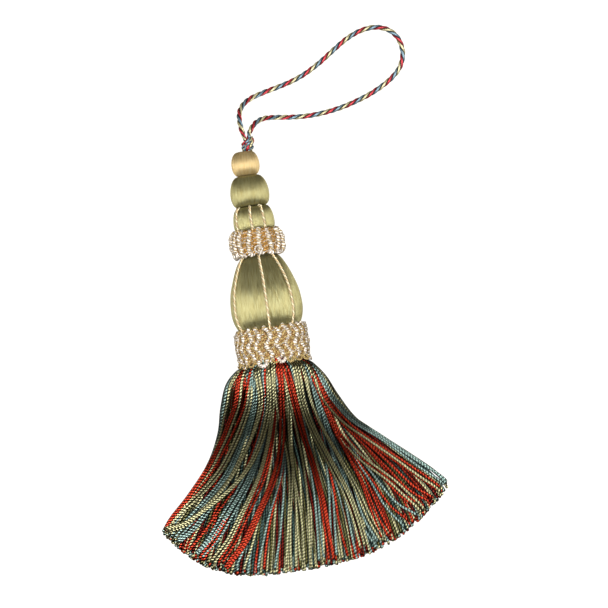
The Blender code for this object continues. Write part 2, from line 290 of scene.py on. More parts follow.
def yarn_material(name, plain, dye, crevice_shade, amount, **values):
    """A dyed material for yarn, with its dye and the colour of its painted shade as codes."""
    colours = {"Dye": colour(dye), "Crevice Shade": colour(crevice_shade), "Crevice_Shade_Amount": amount}
    return dyed_material(name, yarn, plain, **colours, **values)


SATIN = {"Metallic": 0.96, "Anisotropic": 1.0, "Anisotropic_Rotation": 0.25}
SOFT = {"Metallic": 0.55, "Anisotropic": 0.8, "Anisotropic_Rotation": 0.25}
PLY = {"Plies": 1, "Crevice_Shade_Width": -0.2, "Relief": 0.12}
DEEP_SHADE_PLY = {**PLY, "Crevice_Shade_Width": 0.8}
# Each ply of the hanging cord: its dye, the darker colour painted as shade where the ply turns in towards the others,
# and how much of it.
cord_plies = [
    yarn_material("red_ply", SOFT, "aa3038", "340e16", 0.92, **DEEP_SHADE_PLY),
    yarn_material("cream_ply", SOFT, "bdb48c", "38321a", 0.92, **DEEP_SHADE_PLY),
    yarn_material("slate_ply", SOFT, "6a828e", "101822", 0.92, **DEEP_SHADE_PLY),
]
print(len(cord_plies), "plies dyed")

# %% [markdown]
# ## Tubes for plies
# Nothing in the Add menu is a twisted ply, and a curve with a round bevel can't turn its
# section as it goes. So a ply is made in code: a smooth route, a ring of points carried along
# it, and a turn that grows with the distance. All the plies of one piece are joined into one
# mesh, which keeps many small things light.

# %% A smooth route
def smooth_line(a, b, c, d, share):
    """A smooth curve through b and c, which looks at a and d on either side."""
    straight = 2 * b + (c - a) * share
    return 0.5 * (straight + (2 * a - 5 * b + 4 * c - d) * share**2 + (3 * b - a - 3 * c + d) * share**3)


def smooth_route(points, step, cap=0.0):
    """Points step apart on a smooth curve through the given ones, and their distances, in millimetres.

    With a cap, a few more points round off each end.
    """
    points = np.asarray(points, float)
    points = np.vstack([2 * points[0] - points[1], points, 2 * points[-1] - points[-2]])
    share = np.linspace(0, 1, 12, endpoint=False)[:, None]
    fine = [smooth_line(*four, share) for four in zip(points, points[1:], points[2:], points[3:])]
    fine = np.vstack(fine + [points[-2:-1]])
    gone = np.concatenate([[0], np.cumsum(np.linalg.norm(np.diff(fine, axis=0), axis=1))])
    whole = gone[-1]
    count = max(3, int(round((whole - 2 * cap) / step)) + 1)
    at = np.linspace(cap, whole - cap, count)
    if cap:
        ends = cap * np.array([0, 0.1, 0.4])
        at = np.concatenate([ends, at, whole - ends[::-1]])
    return np.stack([np.interp(at, gone, fine[:, k]) for k in range(3)], 1), at


def unit(vectors):
    """The same directions, each with length 1."""
    return vectors / np.maximum(np.linalg.norm(vectors, axis=-1, keepdims=True), 1e-9)


def lift_and_side(path, outward):
    """At each point of a path: the way out of the surface it lies on, and the way across it."""
    ahead = unit(np.gradient(path, axis=0))
    side = unit(np.cross(ahead, np.broadcast_to(outward, path.shape)))
    return np.cross(side, ahead), side


def rounded(distance, cap):
    """The share of its full radius that a tube has at each distance, with round ends."""
    near = np.clip(np.minimum(distance, distance[-1] - distance) / cap, 0, 1)
    return np.maximum(np.sqrt(1 - (1 - near) ** 2), 0.08)


print("a 5 mm tube is", rounded(np.arange(6.0), 2.0).round(2), "of its radius along its way")


# %% Finishing a mesh
def dress(mesh, maps, materials):
    """Gives a mesh its maps, smooth shading and its materials."""
    for label, places in maps.items():
        uv_map = mesh.uv_layers.new(name=label)
        uv_map.data.foreach_set("uv", np.stack(places, 1).astype(np.float32).reshape(-1))
    mesh.polygons.foreach_set("use_smooth", [True] * len(mesh.polygons))
    for material in materials:
        mesh.materials.append(material)
    mesh.update()


# %% Many tubes in one mesh
LAY_APART = 98.0  # how far apart two tubes start in the lay map, so that no two look the same


class Strands:
    """Collects tubes and makes one mesh of them, with the lay map and a map of strips for baking."""

    def __init__(self):
        self.points, self.faces, self.lay, self.strips, self.finish = [], [], [], [], []
        self.total, self.tubes = 0, 0

    def add(self, path, distance, outward, radius, sides=8, pitch=0.0, slide=0.0, finish=0):
        """A tube along a path. With a pitch, its ring turns once in that many millimetres."""
        lift, side = lift_and_side(path, outward)
        spin = distance / pitch if pitch else np.zeros(len(path))
        angle = 2 * math.pi * (np.arange(sides)[None, :] / sides + spin[:, None])
        reach = np.broadcast_to(radius, len(path))[:, None]
        up, over = np.cos(angle) * reach, np.sin(angle) * reach
        out = up[..., None] * lift[:, None] + over[..., None] * side[:, None]
        self.points.append((path[:, None] + out).reshape(-1, 3))

        # The walls, row by row, and a face for each end.
        rows = len(path)
        i, j = [a.reshape(-1) for a in np.meshgrid(np.arange(rows - 1), np.arange(sides), indexing="ij")]
        near, far, nearby = i * sides, (i + 1) * sides, (j + 1) % sides
        walls = np.stack([near + j, near + nearby, far + nearby, far + j], 1) + self.total
        first = list(range(sides))[::-1]
        last = list(range((rows - 1) * sides, rows * sides))
        self.faces += walls.tolist() + [[v + self.total for v in end] for end in (first, last)]

        # What the lay map and the strips say at each corner of each face.
        row = np.stack([i, i, i + 1, i + 1], 1)
        turn = np.stack([j, j + 1, j + 1, j], 1) / sides

        def at_corners(values):
            ends = [np.full(sides, values[0]), np.full(sides, values[-1])]
            return np.concatenate([values[row].reshape(-1), *ends])

        s = at_corners(distance)
        v = np.concatenate([turn.reshape(-1), np.array(first) / sides, np.arange(sides) / sides])
        apart = abs(pitch) * round(LAY_APART / abs(pitch)) if pitch else LAY_APART
        shift = apart * self.tubes + 9 * slide
        self.lay.append(np.stack([s + shift, v + at_corners(spin)], 1))
        self.strips.append(np.stack([s / distance[-1], v, np.full(len(s), self.tubes)], 1))
        finish = np.broadcast_to(finish, rows - 1)
        self.finish += np.repeat(finish, sides).tolist() + [int(finish[0]), int(finish[-1])]
        self.total += rows * sides
        self.tubes += 1

    def press(self):
        """Nothing goes through the table: what would is pressed flat on it."""
        self.points = [np.column_stack([p[:, :2], np.maximum(p[:, 2], 0.03)]) for p in self.points]

    def piece(self, name, materials, length, width):
        """The finished object. Length and width of one tube say how the strips share the baking square."""
        mesh = bpy.data.meshes.new(name)
        mesh.from_pydata((np.vstack(self.points) * MM).tolist(), [], self.faces)
        strips = np.vstack(self.strips)
        wide = max(1, int(round(math.sqrt(self.tubes * width / length))))
        high = math.ceil(self.tubes / wide)
        u = (strips[:, 2] % wide + 0.02 + 0.96 * strips[:, 0]) / wide
        v = (strips[:, 2] // wide + 0.06 + 0.88 * strips[:, 1]) / high
        mesh.polygons.foreach_set("material_index", self.finish)
        dress(mesh, {"lay": np.vstack(self.lay).T, "OFBake": (u, v)}, materials)
        thing = bpy.data.objects.new(name, mesh)
        bpy.context.scene.collection.objects.link(thing)
        print(name, self.tubes, "tubes,", sum(len(f) - 2 for f in self.faces), "triangles")
        return thing


def fit(thing, slot, *nodes):
    """The piece rides with the tassel and stands for its frame nodes, which are hidden. The slot is not used."""
    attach(thing, "root")
    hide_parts(*nodes)


# %% Plies wound round each other
PLY_CAP = 0.4  # how long the round end of a ply is


def evenly(away, radius, *finishes):
    """Plies evenly round a cord, one for each finish."""
    return [(number / len(finishes), away, radius, finish) for number, finish in enumerate(finishes)]


def wind(strands, points, outward, plies, pitch, step, start=0.0, own=0.0, uneven=0.0):
    """Winds plies round a route and returns the route.

    A ply is (share of a turn, distance from the middle, radius, finish). A pitch above 0 is a
    Z twist, below 0 an S twist. Own is the pitch of each ply's own twist. Uneven is how much a
    ply swells and thins by hand, or a rule that gives the swelling at each point of the route.
    """
    path, distance = smooth_route(points, step, PLY_CAP)
    if callable(outward):
        outward = outward(path)
    lift, side = lift_and_side(path, outward)
    for share, away, radius, finish in plies:
        angle = (2 * math.pi * (start + share + distance / pitch))[:, None]
        arm = np.cos(angle) * lift + np.sin(angle) * side
        if callable(uneven):
            swell = uneven(path)
        else:
            knots = np.arange(0, distance[-1] + 1)
            by_hand = np.sin(7.3 * knots + 11 * away + 2.9 * len(strands.points))
            swell = 1 + uneven * np.interp(distance, knots, by_hand)
        thick = radius * swell * rounded(distance, PLY_CAP)
        strands.add(path + away * arm, distance, arm, thick, pitch=own, finish=finish)
    return path, distance


print("three plies start at", [round(ply[0], 2) for ply in evenly(0.5, 0.5, 0, 1, 2)], "of a turn")


# %% [markdown]
# ## Hanging cord
# The loop is one three-ply cord, red, slate blue and cream green, with an S twist that turns
# once in 8 mm. It is a 1.8 mm cord; its plies are drawn to 1.9 mm, because they are soft and
# only their crowns reach that far. It leaves the knot, lies down on the table, runs out to the
# right and comes back. The route is the frame's own; the three plies are wound round it.

# %% The hanging cord
CORD_ROUTE = [
    (0.72, 74.7, 11.45), (0.4, 76.8, 11.0), (0.2, 80.0, 9.6), (0.7, 83.2, 7.6), (2.65, 86.0, 5.4),
    (5.85, 87.9, 3.4), (10.4, 89.3, 1.8), (15.9, 90.6, 1.0), (21.2, 92.0, 0.9), (26.2, 94.0, 0.9),
    (31.6, 97.0, 0.9), (37.0, 100.6, 0.9), (42.6, 104.1, 0.9), (48.0, 106.2, 0.9), (53.4, 106.6, 0.9),
    (57.9, 104.9, 0.9), (60.7, 101.7, 0.9), (61.7, 97.8, 0.9), (61.3, 94.2, 0.9), (59.4, 90.5, 0.9),
    (55.2, 86.9, 0.9), (49.4, 83.8, 0.9), (44.0, 81.8, 0.9), (37.8, 80.1, 0.9), (31.0, 79.0, 0.9),
    (24.4, 78.7, 1.0), (18.0, 79.1, 1.8), (12.8, 79.65, 3.8), (8.85, 79.6, 6.4), (6.0, 78.45, 9.0),
    (4.1, 76.5, 11.0), (2.95, 74.75, 11.45),
]
UP = (0.0, 0.0, 1.0)
THREE_PLY = evenly(0.48, 0.47, 0, 1, 2)
cord_strands = Strands()
cord_path, cord_distance = wind(cord_strands, CORD_ROUTE, UP, THREE_PLY, -8.0, 0.3)
cord_strands.press()
hanging_cord = cord_strands.piece("hanging_cord_plies", cord_plies, 156, 2.8)
fit(hanging_cord, "hanging_cord", "hanging_cord")
print("hanging cord", round(float(cord_distance[-1]), 1), "mm long")

# %% [markdown]
# ## Knot
# Both ends of the cord are tied round each other just above the smallest ball. From above it
# reads as two legs, three wraps round them and two lobes that slant over the front. It is
# built as short lengths of the same cord, each on its own small curve.

# %% The knot's two legs
KNOT_PLY = evenly(0.36, 0.38, 0, 1, 2)
KNOT_LEGS = [
    ([(0.75, 75.2, 11.5), (0.95, 73.6, 12.1), (1.35, 72.0, 12.3), (1.2, 70.2, 12.0), (1.0, 68.4, 11.6)], 0.1),
    ([(2.95, 75.2, 11.5), (2.7, 73.6, 12.1), (2.3, 72.0, 12.3), (2.5, 70.2, 12.0), (2.6, 68.4, 11.6)], 0.6),
]
knot_strands = Strands()
for points, start in KNOT_LEGS:
    wind(knot_strands, points, UP, KNOT_PLY, -6.0, 0.25, start=start)
print(knot_strands.tubes, "plies in the legs")


# %% The knot's wraps and lobes
def wrap_route(middle, wide, deep, rise):
    """A tilted loop round the legs: it starts at the back and goes round them once."""
    angle = np.linspace(0, 2 * math.pi, 17)
    offsets = [wide * np.sin(angle), rise * np.sin(angle), -deep * np.cos(angle)]
    return np.stack([centre + offset for centre, offset in zip(middle, offsets)], 1)


KNOT_WRAPS = [  # middle, half its width, half its depth, how much it rises to the right, start of the twist
    ((1.95, 71.9, 11.75), 1.7, 1.5, 0.9, 0.3),
    ((1.7, 70.6, 11.7), 1.6, 1.45, 0.75, 0.62),
    ((1.75, 69.4, 11.6), 1.5, 1.4, 0.3, 0.8),
]
for middle, wide, deep, rise, start in KNOT_WRAPS:
    route = wrap_route(middle, wide, deep, rise)
    wind(knot_strands, route, lambda path: path - np.array(middle), KNOT_PLY, -5.5, 0.25, start=start)
KNOT_LOBES = [
    ([(3.0, 72.6, 12.2), (3.7, 71.9, 13.1), (3.3, 71.2, 13.7), (2.2, 70.8, 13.8), (1.2, 70.5, 13.3)], 0.05),
    ([(0.5, 68.6, 12.4), (1.1, 69.3, 13.3), (2.0, 69.9, 13.5), (2.9, 70.6, 13.2), (3.4, 71.2, 12.4)], 0.45),
]
for points, start in KNOT_LOBES:
    wind(knot_strands, points, UP, KNOT_PLY, -5.0, 0.25, start=start)
knot = knot_strands.piece("cord_knot_plies", cord_plies, 9, 2.4)
fit(knot, "cord_knot", "cord_knot")

# %% [markdown]
# ## The head's own axis
# The balls, the bell and the collars were turned on one axis, which dips just under a degree
# as the head lies on its collar and its widest place. Building along that axis is simpler than
# building in the room, so each piece is made with the axis upright and then laid down by one
# matrix.

# %% Laying the head down
SLOPE = 0.2 / 12.25  # how far the axis comes down in one millimetre towards the loop
AXIS_HEIGHT = 12.9 - SLOPE * 0.25  # over the table, where the skirt starts
upright = Matrix.Translation((0, 0, AXIS_HEIGHT * MM))
HEAD = upright @ Matrix.Rotation(-math.pi / 2 - math.asin(SLOPE), 4, "X")
TURN = np.array(HEAD.to_3x3())
FOOT = np.array(HEAD.translation) / MM


def on_head(degrees, radius, station):
    """Millimetres in the room for a place on the head: degrees from the front, out from the axis, up the axis."""
    angle = np.radians(degrees)
    local = np.stack(np.broadcast_arrays(radius * np.sin(angle), -radius * np.cos(angle), station), -1)
    return local @ TURN.T + FOOT


def away_from_axis(path):
    """The way straight out from the head's axis at each point."""
    local = (path - FOOT) @ TURN
    local[:, 2] = 0
    return local @ TURN.T


print("head dips", round(math.degrees(math.asin(SLOPE)), 2), "degrees")

# %% [markdown]
# ## Floss over turned moulds
# Each ball and the bell is a turned wooden mould, covered with untwisted floss laid from top
# to foot. The mould is made as on a lathe: a ring is drawn out row by row and resized to the
# outline. Real floss threads never lie quite level, which breaks up the band of light into
# streaks, so every thread gets its own weight and a Displace modifier lifts it by that much.
# The material then tilts the surface fibre by fibre, which is finer than the mesh.

# %% The floss group: a colour in streaks
FLOSS_INPUTS = {"Floss": (0.5, 0.5, 0.3, 1), "Shade": (0.1, 0.1, 0.05, 1), "Shine": 0.36}
floss, given, result = new_group("Laid floss", FLOSS_INPUTS, LOOK)
times, plus, minus, sine, cosine, vector, scaled, joined, noise, eased, blend, read_map = helpers(floss)
across, down = read_map("threads")


def streaks(width, length, detail):
    """Noise drawn out along the floss: its width in threads, its length in millimetres."""
    return noise(joined(times(across, 1 / width), times(down, 1 / length)), detail)


fine, broad, slow = streaks(0.35, 4.0, 2.0), streaks(2.5, 7.0, 1.0), streaks(0.35, 4.5, 1.0)
both = plus(times(fine, 0.75), times(broad, 0.25))
spread = times(minus(both, 0.5), 0.65)
share = plus(0.72, times(spread, 4.0))
share = add_node(floss, "ShaderNodeClamp", {0: share}).outputs[0]
floss.links.new(blend(share, given["Shade"], given["Floss"]), result["Color"])
floss.links.new(plus(given["Shine"], times(broad, 0.2)), result["Roughness"])
print("streaks:", len(floss.nodes), "nodes")

# %% The floss group: each fibre leans a little
FIBRES_PER_THREAD = 3
rounds = sine(times(across, 2 * math.pi * FIBRES_PER_THREAD))
side_tilt = plus(times(rounds, 0.55), fine)
long_tilt = plus(times(minus(slow, 0.5), 0.22), 0.5)
leaning = {"Color": joined(side_tilt, long_tilt, 1.0), "Strength": 1.0}
normal = add_node(floss, "ShaderNodeNormalMap", leaning, space="TANGENT", uv_map="threads")
floss.links.new(normal.outputs[0], result["Normal"])
print("floss group:", len(floss.nodes), "nodes")


# %% Floss dyes
def floss_material(name, metallic, thread, shade, shine):
    """Floss shines across its threads, so its highlight is stretched round the mould."""
    plain = {"Anisotropic": 0.9, "Metallic": metallic}
    return dyed_material(name, floss, plain, Floss=colour(thread), Shade=colour(shade), Shine=shine)


gold_floss = floss_material("gold_floss_thread", 0.58, "c3b082", "a0782e", 0.46)
olive_floss = floss_material("olive_floss_thread", 0.74, "9c976d", "7a6a2c", 0.42)
green_floss = floss_material("green_floss_thread", 0.8, "a09c72", "7a6a2c", 0.36)
print("floss dyed gold, olive and green")


# %% A mould drawn out row by row
def turned_mould(name, outline, columns):
    """Draws a ring out along an outline of (station, radius) and closes both ends."""
    station, radius = outline[0]
    bpy.ops.object.select_all(action="DESELECT")
    bpy.ops.mesh.primitive_circle_add(vertices=columns, radius=radius * MM, location=(0, 0, station * MM))
    piece = bpy.context.object
    piece.name = name
    bpy.ops.object.transform_apply(location=True)
    bpy.ops.object.mode_set(mode="EDIT")
    bpy.ops.mesh.edge_face_add()
    bpy.ops.mesh.select_mode(type="EDGE")
    for (station, radius), (next_station, next_radius) in zip(outline, outline[1:]):
        step = (0, 0, (next_station - station) * MM)
        bpy.ops.mesh.extrude_region_move(TRANSFORM_OT_translate={"value": step})
        share = next_radius / radius
        bpy.ops.transform.resize(value=(share, share, 1), center_override=(0, 0, next_station * MM))
    bpy.ops.mesh.select_all(action="SELECT")
    bpy.ops.mesh.normals_make_consistent(inside=False)
    bpy.ops.object.mode_set(mode="OBJECT")
    return piece


# %% Threads lifted off the mould
def read_numbers(items, name, kind, each=1):
    """What every vertex, corner or face of a mesh says, in one array."""
    numbers = np.empty(len(items) * each, kind)
    items.foreach_get(name, numbers)
    return numbers


def lift_threads(piece, turn, station, threads, lift, seed):
    """Gives every thread its own weight and lifts it by that share of the full lift."""
    dice = np.random.default_rng(seed)
    number = np.round(turn * threads * 2).astype(int) % (2 * threads)
    thread = number // 2
    height = dice.uniform(0.3, 1, threads)
    length = dice.uniform(5, 10, threads)
    phase = dice.uniform(0, 1, threads)
    wave = np.sin(2 * math.pi * (station / length[thread] + phase[thread]))
    weight = 0.3 * height[thread] * (number % 2) + 0.35 * height[thread] + 0.15 * (1 + wave)
    group = piece.vertex_groups.new(name="thread_lift")
    for index, value in enumerate(weight):
        group.add([index], float(min(value, 1)), "REPLACE")
    lifting = piece.modifiers.new("lift_threads", "DISPLACE")
    lifting.vertex_group, lifting.strength, lifting.mid_level = "thread_lift", lift * MM, 0
    bpy.ops.object.modifier_apply(modifier="lift_threads")
    piece.vertex_groups.clear()


# %% A covered mould
def covered_mould(name, outline, material, threads, lift, seed):
    """A mould with two columns of faces for each thread, lifted, given its maps and laid on the head's axis."""
    piece = turned_mould(name, outline, 2 * threads)
    mesh = piece.data
    place = read_numbers(mesh.vertices, "co", float, 3).reshape(-1, 3) / MM
    turn = (np.arctan2(place[:, 0], -place[:, 1]) / (2 * math.pi)) % 1
    lift_threads(piece, turn, place[:, 2], threads, lift, seed)

    # The maps may not run backwards where the turn starts again at 0.
    corner = read_numbers(mesh.loops, "vertex_index", int)
    first = read_numbers(mesh.polygons, "loop_start", int)
    size = read_numbers(mesh.polygons, "loop_total", int)
    turns, station = turn[corner], place[corner, 2]
    start = np.repeat(turns[first], size)
    turns = turns + (start - turns > 0.5) - (turns - start > 0.5)
    share = 0.03 + 0.94 * (station - place[:, 2].min()) / np.ptp(place[:, 2])
    mesh.transform(HEAD)
    dress(mesh, {"threads": (turns * threads, station), "OFBake": (0.03 + 0.94 * turns, share)}, [material])
    print(name, threads, "threads,", sum(size - 2), "triangles")
    return piece


# %% The two balls
def barrel(top, top_radius, foot, foot_radius, radius, rows):
    """A ball's outline from its foot to its top, between the two ends that its neighbours hide."""
    angle = np.linspace(math.pi, 0, rows)
    share = (1 - np.cos(angle)) / 2
    bulge = radius - (top_radius + foot_radius) / 2
    radii = top_radius + (foot_radius - top_radius) * share + bulge * np.sin(angle)
    return list(zip(top + (foot - top) * share, radii))


for node, slot, material, threads, seed, sizes in [
    ("ball_small", "gold_floss", gold_floss, 90, 3, (68.4, 2.3, 59.9, 2.7, 4.9, 26)),
    ("ball_large", "olive_floss", olive_floss, 114, 4, (59.7, 3.6, 48.95, 4.7, 6.75, 28)),
]:
    ball = covered_mould(f"{node}_floss", barrel(*sizes), material, threads, 0.14, seed)
    fit(ball, slot, node)

# %% The bell
BELL_OUTLINE = [  # station and radius
    (48.65, 5.3), (47.9, 6.2), (46.4, 6.85), (44.6, 7.15), (42.6, 7.25), (41.0, 7.0), (39.8, 6.3), (38.5, 5.8),
    (32.35, 5.8), (31.2, 6.2), (30.2, 7.2), (28.4, 8.4), (25.5, 9.75), (22.3, 10.95), (19.1, 11.95), (15.8, 12.5),
    (12.0, 12.7), (9.0, 12.3), (7.3, 11.75), (6.0, 11.1), (4.5, 10.6), (0.2, 10.4),
]
BELL_ROW, FLOSS_DEPTH = 0.85, 0.08
rows, _ = smooth_route([(0, radius, station) for station, radius in BELL_OUTLINE], BELL_ROW)
bell_outline = [(station, radius - FLOSS_DEPTH) for _, radius, station in rows]
bell = covered_mould("bell_floss", bell_outline, green_floss, 200, 0.15, 5)
fit(bell, "green_floss", "bell")

# %% [markdown]
# ## Laid cords
# Five fine two-ply cords run down over the floss from the bell's neck to the lower collar and
# hold it in place. They are cream with a tan ply, S twisted, about 1 mm thick, and lie on the
# curve of the mould, so their route follows its outline. Two of them lie underneath.

# %% The laid cords
STRANDS = [
    # Each strand: its dye, the darker colour painted as shade where a ply turns in, and how much of it.
    yarn_material("cream_strand", SOFT, "e0d4b2", "5a482a", 0.95, **PLY),
    yarn_material("tan_strand", SOFT, "ccb48a", "5a4424", 0.95, **PLY),
]
LAID_CORD_ANGLES = [(-50, -56), (-6, 2), (28, 45), (124, 122), (236, 238)]  # on the dome, on the bell
LAID_LIFT = 0.58  # from the mould to the middle of the cord
TWO_PLY = evenly(0.26, 0.27, 0, 1)
slopes = np.gradient([radius for _, radius in BELL_OUTLINE], [station for station, _ in BELL_OUTLINE])
for number, (dome, low) in enumerate(LAID_CORD_ANGLES, 1):
    route = [on_head(dome, 5.0, 48.7)]
    for (station, radius), slope in list(zip(BELL_OUTLINE, slopes))[1:-1]:
        degrees = low + (dome - low) * min(max((station - 24) / 20, 0), 1)
        lean = math.atan(slope)
        route.append(on_head(degrees, radius + LAID_LIFT * math.cos(lean), station - LAID_LIFT * math.sin(lean)))
    laid = Strands()
    wind(laid, route, away_from_axis, TWO_PLY, -2.6, 0.22, start=0.17 * number)
    piece = laid.piece(f"laid_cord_{number}_plies", STRANDS, 46, 1.8)
    fit(piece, "laid_cord", f"laid_cord_{number}")

# %% [markdown]
# ## Collars of gimp
# Gimp is a soft cord of two fat white plies with thin tan ones between. In the upper collar it
# stands in fifteen loops round the waist, with three gold cords sunk in each gap and a thread
# straying across some of them. In the lower collar it stands in 22 columns that zigzag
# together over tan and bronze ones. Its plies swell at each turn of the zigzag, so the white
# reads as rows of beads in a tan net. Small loops hang from its foot over the skirt.

# %% Gimp dyes
GIMP_PLAIN = {"Metallic": 0.35}
THIN_GIMP = {"Plies": 3, "Turns": 0.9, "Relief": 0.12}
# Each dye of gimp comes with a darker colour painted as shade in the grooves between its plies, and how much of it.
GIMP = [
    yarn_material("white_gimp", GIMP_PLAIN, "ebe2d6", "6a5842", 0.7, Plies=2, Turns=-0.43, Relief=0.15, Shine=0.3),
    yarn_material("tan_gimp", GIMP_PLAIN, "a8905c", "42331c", 0.8, **PLY),
    yarn_material("gold_gimp", GIMP_PLAIN, "c4964a", "6a481e", 0.9, **THIN_GIMP),
    yarn_material("bronze_gimp", GIMP_PLAIN, "b0884e", "3e2c18", 0.9, **THIN_GIMP),
]
WHITE, TAN, GOLD, BRONZE = range(len(GIMP))
print(len(GIMP), "dyes of gimp")


# %% Loops made by hand
def standing_loop(degrees, middle, half, inner, outer, lean=0.0):
    """A loop that stands out of the mould: down its outside from top to foot, both ends tucked in."""
    share = np.linspace(-1, 1, 15)
    angle = share * math.pi / 2
    bulge = np.abs(np.cos(angle)) ** 0.7
    return on_head(degrees + lean * share, inner + (outer - inner) * bulge, middle - half * np.sin(angle))


dice = np.random.default_rng(11)


def wobble(route, amount):
    """A hand-made loop is never quite even: each point is moved a little, and its neighbours follow."""
    nudge = dice.normal(0, amount, route.shape)
    nudge[1:-1] = (nudge[:-2] + nudge[1:-1] + nudge[2:]) / 2
    return route + nudge


def stray(at, near, far, radius, bulge, station, rise, count):
    """A thin thread that strays across the columns and rises a little on its way."""
    share, arch = np.linspace(0, 1, count), np.sin(np.linspace(0, 3, count))
    return on_head(at + np.linspace(near, far, count), radius + bulge * arch, station + rise * share)


def lay_gimp(strands, route, plies, pitch, step, **more):
    """Winds a cord of a collar; its twist starts anywhere."""
    wind(strands, route, away_from_axis, plies, pitch, step, start=dice.uniform(0, 1), **more)


print("a loop has", len(standing_loop(0, 36, 4, 7, 9)), "points before it is smoothed")

# %% The upper collar
LOOPS = 15
OWN_TWIST = -1.8  # pitch of a fat white ply's own twist
WHITE_PAIR = evenly(0.48, 0.44, WHITE, WHITE) + [(0.25, 0.64, 0.18, TAN), (0.75, 0.64, 0.18, TAN)]
GOLD_PAIR = evenly(0.36, 0.42, GOLD, GOLD) + [(0.25, 0.66, 0.13, WHITE)]
FOOT_PAIR = evenly(0.32, 0.4, WHITE, WHITE)
upper = Strands()
for loop in range(LOOPS):
    at = 8 + 360 // LOOPS * loop + dice.uniform(-1.5, 1.5)
    middle, half = 36.05 + dice.uniform(-0.3, 0.3), 4.2 + dice.uniform(-0.2, 0.2)
    route = standing_loop(at, middle, half, 6.9, 8.95 + dice.uniform(-0.1, 0.25), dice.uniform(-4, 4))
    lay_gimp(upper, wobble(route, 0.22), WHITE_PAIR, -2.2, 0.19, own=OWN_TWIST, uneven=0.28)
    for beside in (-6.5, 0, 6.5):
        route = standing_loop(at + 12 + beside, 36.05, 4.0, 6.8, 8.25 + dice.uniform(-0.2, 0.1))
        lay_gimp(upper, wobble(route, 0.1), GOLD_PAIR, 1.7, 0.22, own=1.1)
    if loop % 2:
        crossing = stray(at, 3, 20, 9.1, 0.25, 33.5 + dice.uniform(0, 4), dice.uniform(1.0, 2.0), 6)
        wind(upper, wobble(crossing, 0.1), away_from_axis, [(0, 0.1, 0.16, WHITE), (0.5, 0.1, 0.14, TAN)], 1.2, 0.2)
    arch = np.sin(np.linspace(0, math.pi, 7))
    foot = on_head(at + np.linspace(-6, 7, 7), 8.2 + 0.4 * arch, 32.1 + dice.uniform(-0.3, 0.3) - 0.5 * arch)
    lay_gimp(upper, wobble(foot, 0.06), FOOT_PAIR, -2.2, 0.2, own=OWN_TWIST)
print(upper.tubes, "plies in the upper collar")

# %% The loose end that curls on the upper collar
share = np.linspace(0, 1.15, 26)
turn = 2 * math.pi * share
curl = on_head(2.3 + 7.2 * np.sin(turn), 10.0 + 0.3 * share, 33.2 + 1.2 * np.cos(turn))
wind(upper, curl, away_from_axis, evenly(0.13, 0.2, WHITE, WHITE), -1.6, 0.18)
collar_upper = upper.piece("ruff_upper_gimp", GIMP, 13, 4)
fit(collar_upper, "gimp", "ruff_upper")

# %% How the lower collar zigzags
COLUMNS = 22
ZIGZAG = 4.6  # degrees either way
ZIGZAG_TOP = 2.5  # the station of one crest
ZIGZAG_LENGTH = 6.8  # from crest to crest
MOULD_RADIUS = 10.9


def zigzag(station, early):
    """From -1 to 1: how far a column has swung. All swing together, which makes rows of chevrons."""
    return np.cos(2 * math.pi * (station - ZIGZAG_TOP + early) / ZIGZAG_LENGTH)


def zigzag_column(degrees, foot, head, radius, wildness, early=0.0):
    """The route of a column of the lower collar, with both ends tucked in."""
    station = np.linspace(head, foot, 21)
    share = np.linspace(-1, 1, 21)
    swing = ZIGZAG * zigzag(station, early)
    out = MOULD_RADIUS + (radius - MOULD_RADIUS) * (1 - np.abs(share) ** 6)
    return wobble(on_head(degrees + swing * dice.uniform(0.75, 1.15), out, station), wildness)


def clumps(early):
    """The white plies are thick at every turn of the zigzag and thin between, so they read as clumps."""
    def rule(path):
        station = ((path - FOOT) @ TURN)[:, 2]
        return 0.56 + 0.58 * np.abs(zigzag(station, early))
    return rule


print(COLUMNS, "columns, a crest every", ZIGZAG_LENGTH, "mm")

# %% The lower collar
CLUMP_PLY = [(0, 0.36, 0.52, WHITE), (0.5, 0.36, 0.5, WHITE), (0.25, 0.7, 0.18, TAN)]
NET_PLY = evenly(0.38, 0.46, BRONZE, TAN)
STRAY_PLY = [(0, 0.12, 0.16, WHITE), (0.5, 0.12, 0.14, TAN)]
lower = Strands()
for column in range(COLUMNS):
    at = 11 + 360 * column / COLUMNS + dice.uniform(-1.2, 1.2)
    early = dice.uniform(-0.5, 0.5)
    route = zigzag_column(at, -6.3 + dice.uniform(-0.4, 0.4), 5.7 + dice.uniform(-0.3, 0.3), 12.4, 0.14, early)
    lay_gimp(lower, route, CLUMP_PLY, -2.3, 0.22, own=OWN_TWIST, uneven=clumps(early))
    for beside in (5.4, 10.9):
        route = zigzag_column(at + beside, -6.2, 5.4, 12.0 + dice.uniform(-0.1, 0.2), 0.1)
        lay_gimp(lower, route, NET_PLY, 2.1, 0.28)
    for station in (dice.uniform(-5, -1), dice.uniform(0, 4.5)):
        crossing = stray(at, 2, 14, 12.75, 0.15, station, 1.7, 5)
        wind(lower, wobble(crossing, 0.12), away_from_axis, STRAY_PLY, 1.2, 0.25)
print(lower.tubes, "plies in the lower collar")

